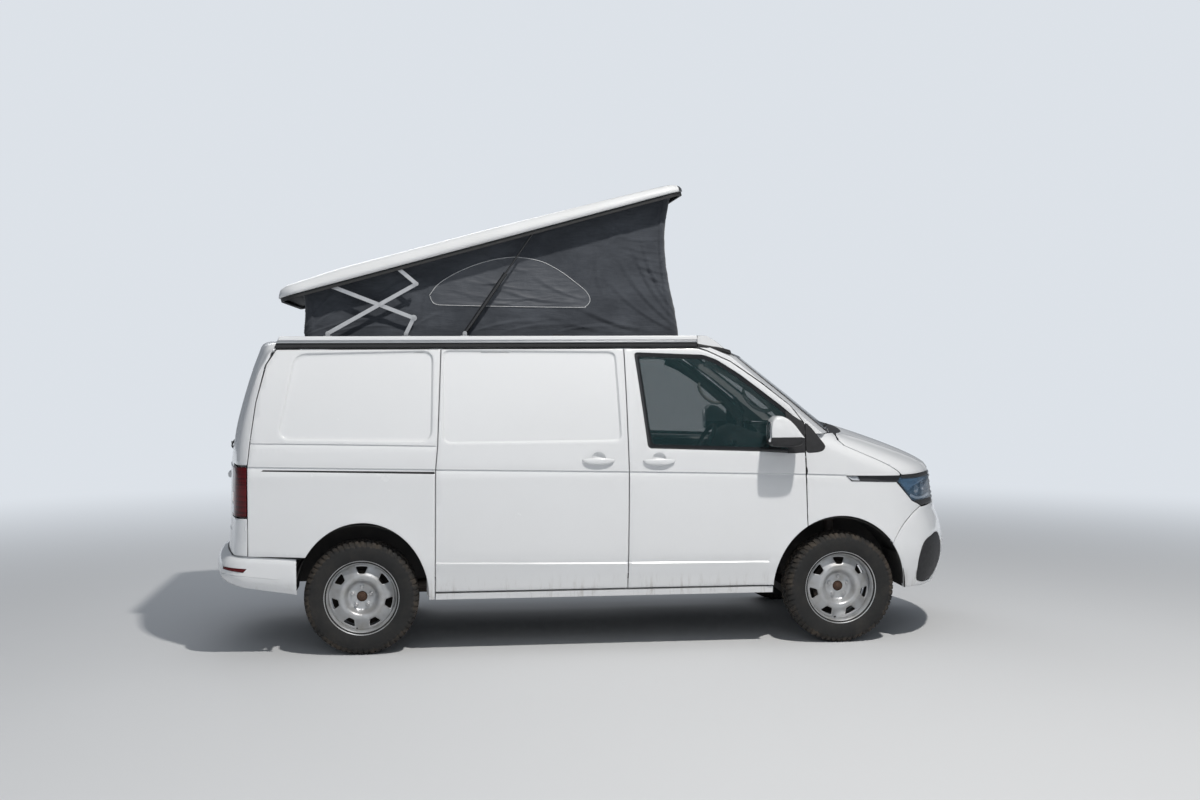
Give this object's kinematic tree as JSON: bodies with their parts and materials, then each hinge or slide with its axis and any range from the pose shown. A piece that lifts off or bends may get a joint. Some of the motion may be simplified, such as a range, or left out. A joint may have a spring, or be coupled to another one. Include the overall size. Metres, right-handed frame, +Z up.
{
  "type": "camper van with pop-top roof",
  "caption": "Panel-sided camper van on road wheels with opening doors, bonnet and tailgate, steered front wheels and a front-raised pop-top roof with canvas walls.",
  "frame": {"origin": "on the ground under the middle of the van, on its centreline", "axes": "+X towards the nose, +Y to the van's left, +Z up"},
  "size_m": [4.9038, 2.296, 2.9033],
  "materials": {
    "white_paint": "gloss",
    "mirror_housing": "gloss",
    "roof_frame_black": "satin",
    "white_roof": "gloss",
    "liner_board": "matt",
    "seal_rubber": "matt",
    "canvas_grey": "woven",
    "black_trim": "matt",
    "underbody_steel": "matt",
    "chassis_steel": "matt",
    "cast_block": "cast",
    "tank_plastic": "matt",
    "exhaust_steel": "satin",
    "window_glass": "clear",
    "lamp_glass": "clear",
    "red_lamp": "clear coat",
    "seat_cloth": "woven",
    "dash_plastic": "grained",
    "cabinet_wood": "laminate",
    "rail_aluminium": "anodised",
    "arm_steel": "zinc",
    "strut_black": "satin",
    "wheel_silver": "satin",
    "tyre_rubber": "matt"
  },
  "bodies": {
    "body": {"body_frame": "white_paint", "front_structure": "underbody_steel", "floor_pan": "underbody_steel", "side_panel_left": "white_paint", "side_panel_right": "white_paint", "sliding_door": "white_paint", "sills": "white_paint", "windscreen_frame": "white_paint", "windscreen": "window_glass", "cowl": "black_trim", "front_wings": "white_paint", "front_bumper": "white_paint", "grille": "black_trim", "headlamps": "lamp_glass", "roof_panel": "white_paint", "rear_bumper": "white_paint", "tail_lamps": "red_lamp", "front_subframe": "chassis_steel", "rear_axle": "chassis_steel", "engine_block": "cast_block", "fuel_tank": "tank_plastic", "exhaust": "exhaust_steel", "front_seats": "seat_cloth", "dashboard": "dash_plastic", "steering_wheel": "dash_plastic", "rear_bench": "seat_cloth", "kitchen_block": "cabinet_wood", "roof_rails": "rail_aluminium", "roof_fairing": "white_paint", "pop_top_curb": "roof_frame_black", "roof_brackets": "arm_steel", "canvas": "canvas_grey"},
    "bonnet": {"bonnet": "white_paint"},
    "tailgate": {"tailgate": "white_paint", "tailgate_glass": "window_glass"},
    "front_door_left": {"front_door_left": "white_paint", "door_glass_left": "window_glass", "mirror_left": "mirror_housing"},
    "front_door_right": {"front_door_right": "white_paint", "door_glass_right": "window_glass", "mirror_right": "mirror_housing"},
    "knuckle_left": {"knuckle_left": "chassis_steel"},
    "knuckle_right": {"knuckle_right": "chassis_steel"},
    "wheel_front_left": {"wheel_front_left": "wheel_silver", "tyre_front_left": "tyre_rubber"},
    "wheel_front_right": {"wheel_front_right": "wheel_silver", "tyre_front_right": "tyre_rubber"},
    "wheel_rear_left": {"wheel_rear_left": "wheel_silver", "tyre_rear_left": "tyre_rubber"},
    "wheel_rear_right": {"wheel_rear_right": "wheel_silver", "tyre_rear_right": "tyre_rubber"},
    "long_arms": {"long_arms": "arm_steel"},
    "short_arms": {"short_arms": "arm_steel"},
    "roof": {"roof_shell": "white_roof", "roof_liner": "liner_board", "roof_seal": "seal_rubber"},
    "upper_links": {"upper_links": "arm_steel"},
    "lower_links": {"lower_links": "arm_steel"},
    "strut_tubes": {"strut_tubes": "strut_black"},
    "strut_rods": {"strut_rods": "arm_steel"}
  },
  "joints": [
    {"name": "bonnet_hinge", "type": "hinge", "parent": "body", "child": "bonnet", "pos_m": [1.545, 0, 1.262], "axis": [0, -1, 0], "range_deg": [0, 55]},
    {"name": "tailgate_hinge", "type": "hinge", "parent": "body", "child": "tailgate", "pos_m": [-1.95, 0, 1.915], "axis": [0, 1, 0], "range_deg": [0, 85]},
    {"name": "front_door_left_hinge", "type": "hinge", "parent": "body", "child": "front_door_left", "pos_m": [1.258, 0.936, 0.9], "axis": [0, 0, -1], "range_deg": [0, 65]},
    {"name": "front_door_right_hinge", "type": "hinge", "parent": "body", "child": "front_door_right", "pos_m": [1.258, -0.936, 0.9], "axis": [0, 0, 1], "range_deg": [0, 65]},
    {"name": "steer_left", "type": "hinge", "parent": "body", "child": "knuckle_left", "pos_m": [1.544, 0.724, 0.35], "axis": [0, 0, 1], "range_deg": [-35, 35]},
    {"name": "steer_right", "type": "hinge", "parent": "body", "child": "knuckle_right", "pos_m": [1.544, -0.724, 0.35], "axis": [0, 0, 1], "range_deg": [-35, 35]},
    {"name": "roll_front_left", "type": "hinge", "parent": "knuckle_left", "child": "wheel_front_left", "pos_m": [1.544, 0.814, 0.35], "axis": [0, 1, 0], "continuous": true},
    {"name": "roll_front_right", "type": "hinge", "parent": "knuckle_right", "child": "wheel_front_right", "pos_m": [1.544, -0.814, 0.35], "axis": [0, 1, 0], "continuous": true},
    {"name": "roll_rear_left", "type": "hinge", "parent": "body", "child": "wheel_rear_left", "pos_m": [-1.456, 0.814, 0.35], "axis": [0, 1, 0], "continuous": true},
    {"name": "roll_rear_right", "type": "hinge", "parent": "body", "child": "wheel_rear_right", "pos_m": [-1.456, -0.814, 0.35], "axis": [0, 1, 0], "continuous": true},
    {"name": "roof_lift", "type": "hinge", "parent": "body", "child": "long_arms", "pos_m": [-1.6559, 0, 1.9664], "axis": [0, 1, 0], "range_deg": [0, 29.19], "deforming": ["canvas"]},
    {"name": "short_arm_turn", "type": "hinge", "parent": "long_arms", "child": "short_arms", "pos_m": [-1.341, 0, 2.1433], "axis": [0, 1, 0], "range_deg": [-49.71, 0]},
    {"name": "roof_tilt", "type": "hinge", "parent": "short_arms", "child": "roof", "pos_m": [-1.6246, 0, 2.2536], "axis": [0, 1, 0], "range_deg": [0, 35.71]},
    {"name": "upper_link_turn", "type": "hinge", "parent": "long_arms", "child": "upper_links", "pos_m": [-1.112, 0, 2.272], "axis": [0, 1, 0], "range_deg": [-63.22, 0]},
    {"name": "lower_link_turn", "type": "hinge", "parent": "body", "child": "lower_links", "pos_m": [-1.1787, 0, 1.9631], "axis": [0, 1, 0], "range_deg": [0, 63.51]},
    {"name": "strut_swing", "type": "hinge", "parent": "body", "child": "strut_tubes", "pos_m": [-0.815, 0, 1.966], "axis": [0, 1, 0], "range_deg": [0, 53.08]},
    {"name": "strut_slide", "type": "slide", "parent": "strut_tubes", "child": "strut_rods", "axis": [0.5656, 0, 0.8247], "range_m": [-0.264, 0]}
  ],
  "couplings": [
    {"joint": "short_arm_turn", "follows": "roof_lift", "ratio": -1.7021},
    {"joint": "roof_tilt", "follows": "roof_lift", "ratio": 1.2227},
    {"joint": "upper_link_turn", "follows": "roof_lift", "ratio": -2.165},
    {"joint": "lower_link_turn", "follows": "roof_lift", "ratio": 2.175},
    {"joint": "strut_swing", "follows": "roof_lift", "ratio": 1.8175},
    {"joint": "strut_slide", "follows": "roof_lift", "m_per_rad": -0.5179},
    {"joint": "steer_right", "follows": "steer_left", "ratio": 1}
  ]
}
